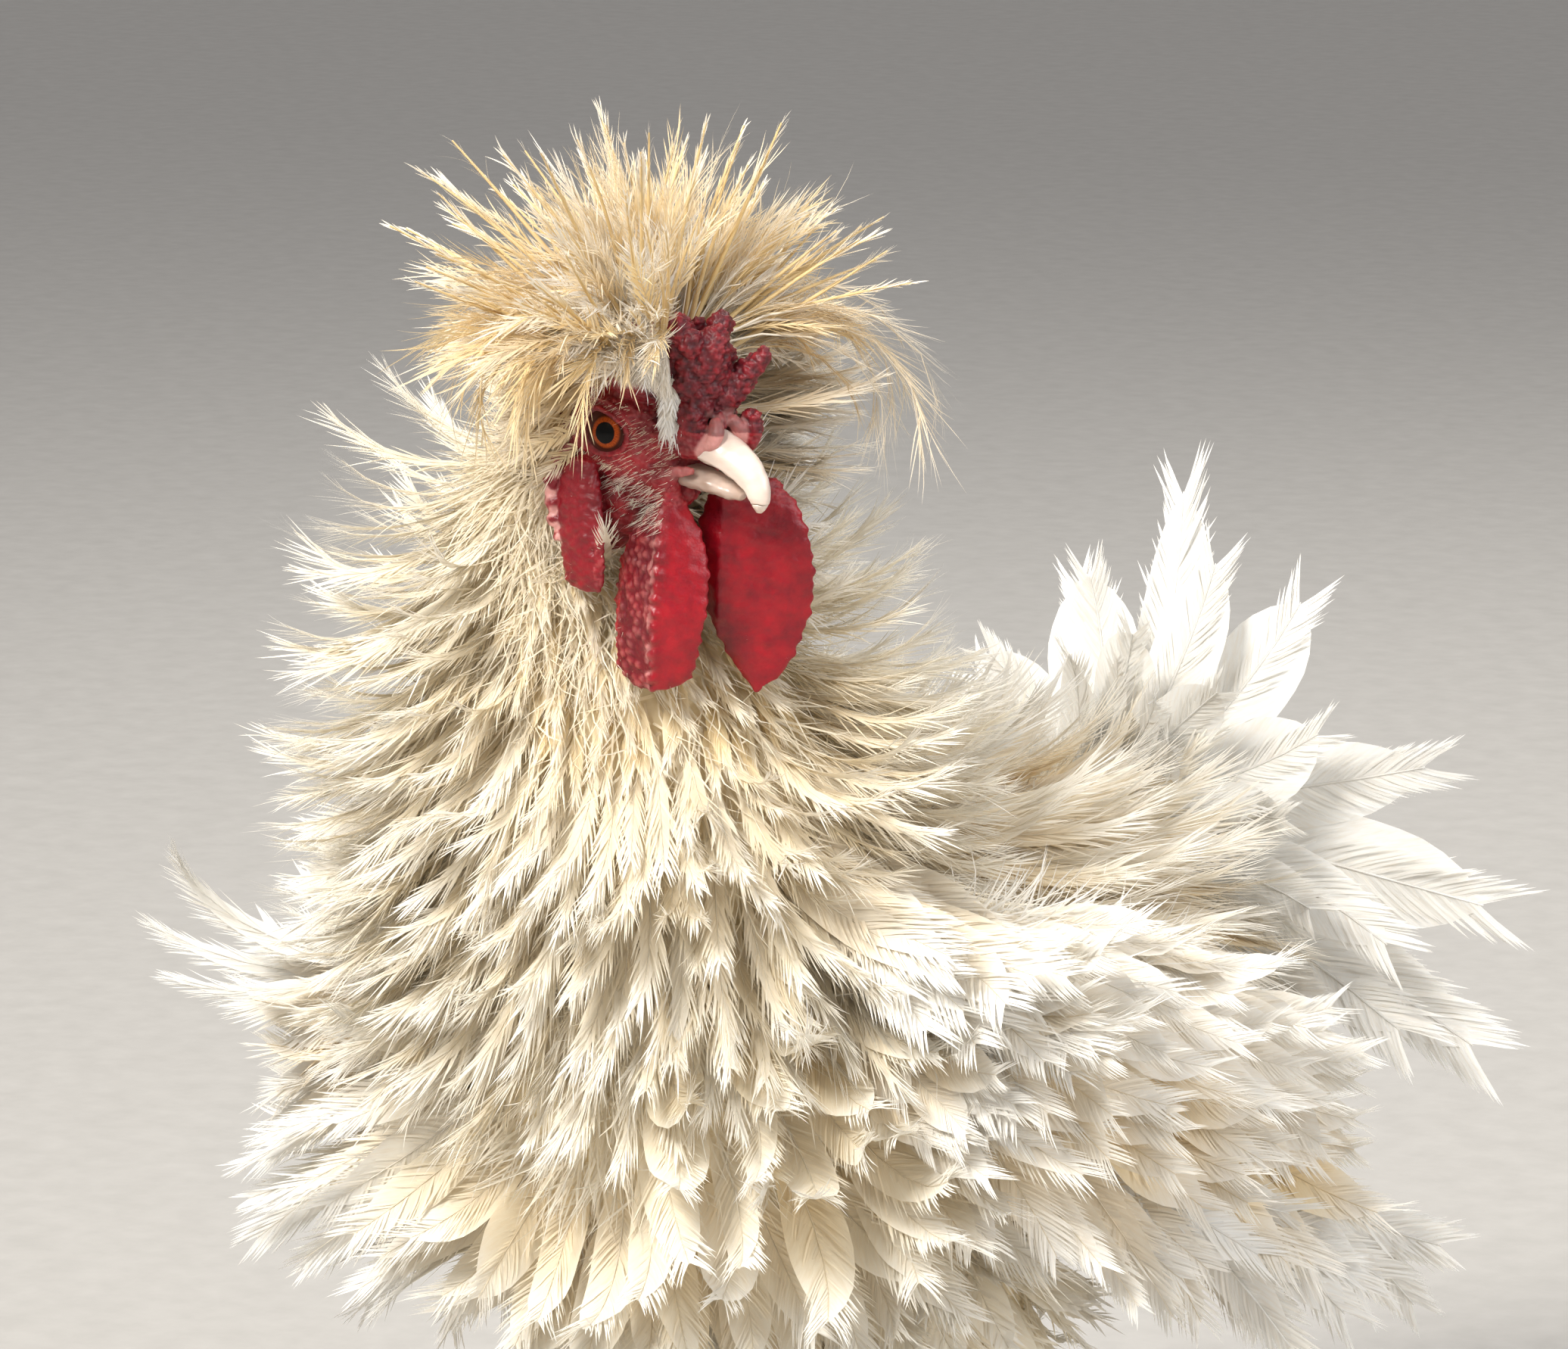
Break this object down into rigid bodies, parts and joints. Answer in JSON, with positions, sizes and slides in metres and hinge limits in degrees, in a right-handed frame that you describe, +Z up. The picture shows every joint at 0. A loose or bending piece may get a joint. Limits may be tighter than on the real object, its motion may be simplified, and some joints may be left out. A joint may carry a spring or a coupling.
{
  "type": "crested frizzle rooster model",
  "caption": "Life-size still model of a standing crested chicken with curled, ruffled cream and white feathers.",
  "frame": {"origin": "on the floor, under the middle of the whole bird's box", "axes": "+Z up, the body faces -Y, the bird's left is +X, and the head is turned to its left"},
  "size_m": [0.3288, 0.4366, 0.5072],
  "materials": {
    "cream_feather": "matt cream feathers",
    "white_feather": "matt white feathers",
    "buff_feather": "matt pale buff feathers",
    "red_skin": "soft red skin with a low sheen",
    "horn": "ivory horn",
    "leg_skin": "pale scaled skin",
    "eye": "wet orange-brown eye"
  },
  "bodies": {
    "root": {"torso": "cream_feather", "neck": "cream_feather", "head": "red_skin", "crest": "buff_feather", "comb": "red_skin", "upper_beak": "horn", "lower_beak": "horn", "eye_left": "eye", "eye_right": "eye", "wattle_left": "red_skin", "wattle_right": "red_skin", "earlobe_left": "red_skin", "earlobe_right": "red_skin", "wing_left": "white_feather", "wing_right": "white_feather", "tail": "white_feather", "thigh_left": "cream_feather", "thigh_right": "cream_feather", "shank_left": "leg_skin", "shank_right": "leg_skin", "foot_left": "leg_skin", "foot_right": "leg_skin", "claw_left_1": "horn", "claw_left_2": "horn", "claw_left_3": "horn", "claw_left_4": "horn", "claw_right_1": "horn", "claw_right_2": "horn", "claw_right_3": "horn", "claw_right_4": "horn"}
  },
  "joints": []
}
